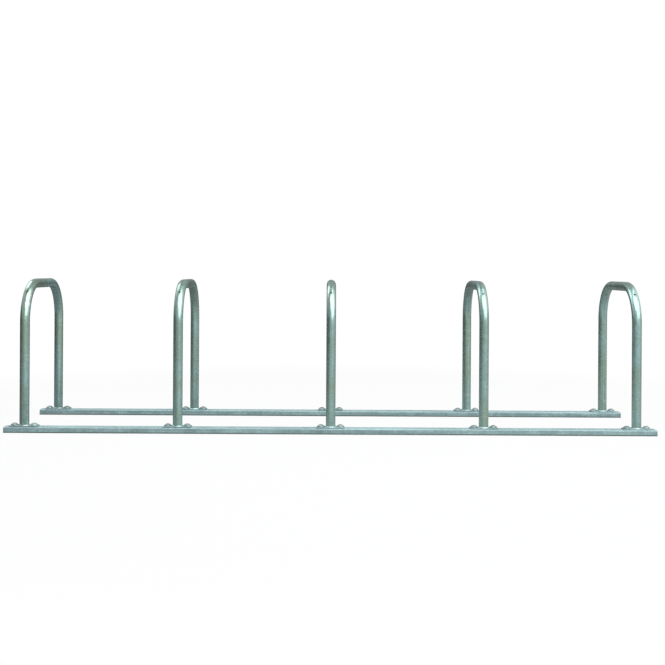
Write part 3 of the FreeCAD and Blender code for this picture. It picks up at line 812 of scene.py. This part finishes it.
helix = wiring.add("GeometryNodeCurveSpiral", {
    "Resolution": source["Thread steps"], "Rotations": source["Thread turns"],
    "Start Radius": source["Thread radius"], "End Radius": source["Thread radius"],
    "Height": source["Thread height"]}).outputs[0]
helix = wiring.add("GeometryNodeSetCurveNormal", {"Curve": helix}, mode="Z_UP").outputs[0]
ridge = wiring.add("GeometryNodeCurvePrimitiveQuadrilateral", {
    "Height": source["Thread depth"], "Bottom Width": source["Thread base"],
    "Top Width": wiring.math("MULTIPLY", source["Thread base"], THREAD_CREST), "Offset": 0.0},
    mode="TRAPEZOID").outputs[0]
ridge_middle = wiring.math("MULTIPLY", source["Thread depth"], 0.5 - THREAD_SUNK)
ridge = wiring.add("GeometryNodeTransform", {
    "Geometry": ridge, "Rotation": (0.0, 0.0, -math.pi / 2),
    "Translation": wiring.combine(ridge_middle, 0.0, 0.0)}).outputs[0]
thread = wiring.add("GeometryNodeCurveToMesh", {"Curve": helix, "Profile Curve": ridge,
                                                "Fill Caps": True}).outputs[0]
thread = moved(wiring, thread, 0.0, 0.0, source["Thread bottom"])
print("bolt tree has", len(bolt_tree.nodes), "nodes so far")

# %% Bolt tree: a pair at each leg
bolt = wiring.add("GeometryNodeJoinGeometry")
for part in (thread, neck, turned):
    bolt_tree.links.new(part, bolt.inputs[0])
pair = wiring.add("GeometryNodeJoinGeometry")
for side in (-1.0, 1.0):
    to_side = wiring.math("MULTIPLY", source["Bolt offset"], side)
    bolt_tree.links.new(moved(wiring, bolt.outputs[0], to_side, 0.0, 0.0), pair.inputs[0])

# Output 3 of the Random Value node is its yes or no
half_turn = wiring.add("FunctionNodeRandomValue", {"Seed": source["Seed"]}, data_type="BOOLEAN").outputs[3]
bolts = wiring.add("GeometryNodeInstanceOnPoints", {
    "Points": legs_grid(wiring, source), "Instance": pair.outputs[0],
    "Rotation": wiring.combine(0.0, 0.0, wiring.math("MULTIPLY", half_turn, math.pi))}).outputs[0]
finish_tree(wiring, bolts, source, result)
bolt_pieces = keep_result(section_object("round_head_bolts", bolt_section, False), bolt_tree, bolt_inputs)

# %% Bolts take the place of the plain ones
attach(bolt_pieces, "root")
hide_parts(*[name for name in nodes if name.startswith("bolts_hoop_")])

# %% [markdown]
# ## The studio: backdrop and floor
#
# A plain pale floor in front of a white backdrop. The world could be plain white, but then it would also
# light the rack from all sides and leave no shadow. So it is white only for the rays that see it, straight or
# in a reflection, and a weak glow for the light. The floor fades to the same white away from the rack, by the
# distance from the origin, so the two meet without a line, and it keeps the soft shadow under the rails.

# %% World
WHITE = (1.0, 1.0, 1.0, 1.0)
WORLD_GLOW = (0.98, 1.0, 1.0, 1.0)
WORLD_LEVEL = 0.22


def seen_rays(wiring):
    """1 for rays from the camera, off a mirror or through glass, and 0 for those that gather light."""
    path = wiring.add("ShaderNodeLightPath").outputs
    return wiring.chain("MAXIMUM", path["Is Camera Ray"], path["Is Glossy Ray"],
                        path["Is Transmission Ray"])


world = bpy.data.worlds.new("studio_world")
world.use_nodes = True
world.node_tree.nodes.clear()
wiring = Wiring(world.node_tree)
glow = wiring.add("ShaderNodeBackground", {"Color": WORLD_GLOW, "Strength": WORLD_LEVEL}).outputs[0]
white = wiring.add("ShaderNodeBackground", {"Color": WHITE, "Strength": 1.0}).outputs[0]
mixed = wiring.add("ShaderNodeMixShader", {0: seen_rays(wiring), 1: glow, 2: white}).outputs[0]
wiring.end(mixed, "ShaderNodeOutputWorld")
bpy.context.scene.world = world
print("world level for light:", WORLD_LEVEL)

# %% Floor
FLOOR_HALF = 40.0
FLOOR_PAINT = (0.86, 0.87, 0.87, 1.0)
FLOOR_WHITE_FROM = 2.4
FLOOR_WHITE_TO = 4.2
FLOOR_WHITE_LEAST = 0.91


def stage_card(name, points, faces, material):
    """A mesh that belongs to the studio, not to the rack. It may glow, but it isn't sampled as a lamp."""
    mesh = bpy.data.meshes.new(name)
    mesh.from_pydata(points, [], faces)
    mesh.materials.append(material)
    material.cycles.emission_sampling = "NONE"
    card = bpy.data.objects.new(name, mesh)
    bpy.context.scene.collection.objects.link(card)
    print("stage:", name)
    return card


floor_finish, wiring = new_finish("studio_floor")
distance = wiring.distance(wiring.add("ShaderNodeTexCoord").outputs["Object"])
whiteness = wiring.ramp(distance, FLOOR_WHITE_FROM, FLOOR_WHITE_TO, FLOOR_WHITE_LEAST, 1.0)
paint = wiring.add("ShaderNodeBsdfDiffuse", {"Color": FLOOR_PAINT}).outputs[0]
shine = wiring.add("ShaderNodeEmission", {"Color": WHITE, "Strength": 1.0}).outputs[0]
shown = wiring.math("MULTIPLY", seen_rays(wiring), whiteness)
wiring.end(wiring.add("ShaderNodeMixShader", {0: shown, 1: paint, 2: shine}).outputs[0])
floor_corners = [(x * FLOOR_HALF, y * FLOOR_HALF, 0.0) for x, y in ((-1, -1), (1, -1), (1, 1), (-1, 1))]
stage_card("studio_floor", floor_corners, [(0, 1, 2, 3)], floor_finish)

# %% [markdown]
# ## The studio: what the metal mirrors
#
# Metal shows what stands round it, and a white room would leave the tubes without form. Cards could be set up
# one by one, but each shows as a hard stripe. A dome that only reflections see, with a disc just over the
# floor, gives soft tones all round instead. Its greys change with the compass direction: darkest behind and
# to the left, pale in front and brightest high up on the right. The camera doesn't see it, and it gives no
# diffuse light and casts no shadow. A turn of 0.5 is the camera's side, 0.75 the right, 0.25 the left, and 0
# or 1 the back.

# %% Finish of the surround
SURROUND_RADIUS = 14.0
LOW_TONES = [(0.00, 0.12), (0.09, 0.10), (0.20, 0.05), (0.30, 0.08), (0.38, 0.22), (0.48, 0.53),
             (0.58, 0.70), (0.70, 0.66), (0.80, 0.48), (0.91, 0.20), (1.00, 0.12)]
HIGH_TONES = [(0.00, 0.23), (0.08, 0.33), (0.18, 0.53), (0.28, 0.33), (0.38, 0.31), (0.46, 0.44),
              (0.56, 0.62), (0.66, 0.90), (0.77, 1.00), (0.84, 0.70), (0.90, 0.30), (1.00, 0.23)]
HIGH_LEVEL = 1.5
HIGH_RISE = (0.12, 0.40)
GROUND_REACH = (3.0, 6.0)
GROUND_RANGE = (-2.2, 2.4)
GROUND_TONES = (0.22, 0.60)


def tones_by_direction(wiring, turn, tones):
    """A grey that changes with the compass direction, from a list of (turn, tone)."""
    ramp = wiring.add("ShaderNodeValToRGB", {0: turn})
    ramp.color_ramp.interpolation = "EASE"
    stops = ramp.color_ramp.elements
    while len(stops) < len(tones):
        stops.new(0.5)
    for stop, (place, tone) in zip(stops, tones):
        stop.position = place
        stop.color = (tone, tone, tone, 1.0)
    return ramp.outputs[0]


surround_finish, wiring = new_finish("studio_surround")
place = wiring.add("ShaderNodeTexCoord").outputs["Object"]
x, y, z = wiring.separate(place)
angle = wiring.math("ARCTAN2", x, wiring.math("MULTIPLY", y, -1.0))
turn = wiring.math("MULTIPLY_ADD", angle, 1.0 / math.tau, 0.5)
low_tone = tones_by_direction(wiring, turn, LOW_TONES)
high_tone = wiring.scaled(tones_by_direction(wiring, turn, HIGH_TONES), HIGH_LEVEL)

# Near the rack the disc is darker behind it and to its left. Further out it takes on the dome's low tones
ground_tone = wiring.ramp(wiring.math("SUBTRACT", x, y), *GROUND_RANGE, *GROUND_TONES)
low_tone = wiring.mix_colour(wiring.ramp(wiring.distance(place), *GROUND_REACH), ground_tone, low_tone)
rise = wiring.math("DIVIDE", z, SURROUND_RADIUS)
level = wiring.mix_colour(wiring.ramp(rise, *HIGH_RISE), low_tone, high_tone)
wiring.end(wiring.add("ShaderNodeEmission", {"Color": level}).outputs[0])
print("surround tones:", len(LOW_TONES), "low and", len(HIGH_TONES), "high")

# %% Dome and disc
SURROUND_SIDES = 72
SURROUND_RINGS = 18
GROUND_GAP = 0.0005

surround_points = []
for ring in range(SURROUND_RINGS):
    tilt = math.pi / 2 * ring / SURROUND_RINGS
    for side in range(SURROUND_SIDES):
        bearing = math.tau * side / SURROUND_SIDES
        surround_points.append((SURROUND_RADIUS * math.cos(tilt) * math.sin(bearing),
                                SURROUND_RADIUS * math.cos(tilt) * math.cos(bearing),
                                GROUND_GAP + SURROUND_RADIUS * math.sin(tilt)))
surround_points.append((0.0, 0.0, GROUND_GAP + SURROUND_RADIUS))
surround_faces = [tuple(range(SURROUND_SIDES))]
for ring in range(SURROUND_RINGS):
    for side in range(SURROUND_SIDES):
        first, second = ring * SURROUND_SIDES + side, ring * SURROUND_SIDES + (side + 1) % SURROUND_SIDES
        if ring < SURROUND_RINGS - 1:
            surround_faces.append((first, second, second + SURROUND_SIDES, first + SURROUND_SIDES))
        else:
            surround_faces.append((first, second, len(surround_points) - 1))
surround = stage_card("studio_surround", surround_points, surround_faces, surround_finish)
surround.visible_camera = False
surround.visible_diffuse = False
surround.visible_transmission = False
surround.visible_shadow = False

# %% [markdown]
# ## The studio: light
#
# The photograph has no hard shadows, so the light comes from three large soft boxes: one overhead, one high
# in front on the right, which also draws the long highlights on the bends, and one behind on the left, which
# keeps the hoops' rear sides from going dark. A single sun would give one hard shadow and thin highlights.

# %% Soft boxes
LIGHT_COLOUR = (0.97, 1.0, 1.0)
AIM = Vector((0.0, 0.0, 0.4))

soft_boxes = {
    "soft_box_over": {"width": 7.0, "depth": 5.0, "radiance": 2.4, "place": (1.0, -2.0, 5.5)},
    "soft_box_front": {"width": 11.0, "depth": 6.5, "radiance": 1.65, "place": (5.2, -7.0, 5.9)},
    "soft_box_back": {"width": 3.0, "depth": 4.0, "radiance": 2.2, "place": (-4.2, 3.4, 5.4)},
}
for name, box in soft_boxes.items():
    lamp = bpy.data.lights.new(name, "AREA")
    lamp.shape = "RECTANGLE"
    lamp.size = box["width"]
    lamp.size_y = box["depth"]
    lamp.energy = box["radiance"] * math.pi * box["width"] * box["depth"]
    lamp.color = LIGHT_COLOUR
    lamp_object = bpy.data.objects.new(name, lamp)
    lamp_object.location = box["place"]
    lamp_object.rotation_euler = (AIM - lamp_object.location).to_track_quat("-Z", "Y").to_euler()
    bpy.context.scene.collection.objects.link(lamp_object)
    print(name, "energy:", round(lamp.energy, 1))
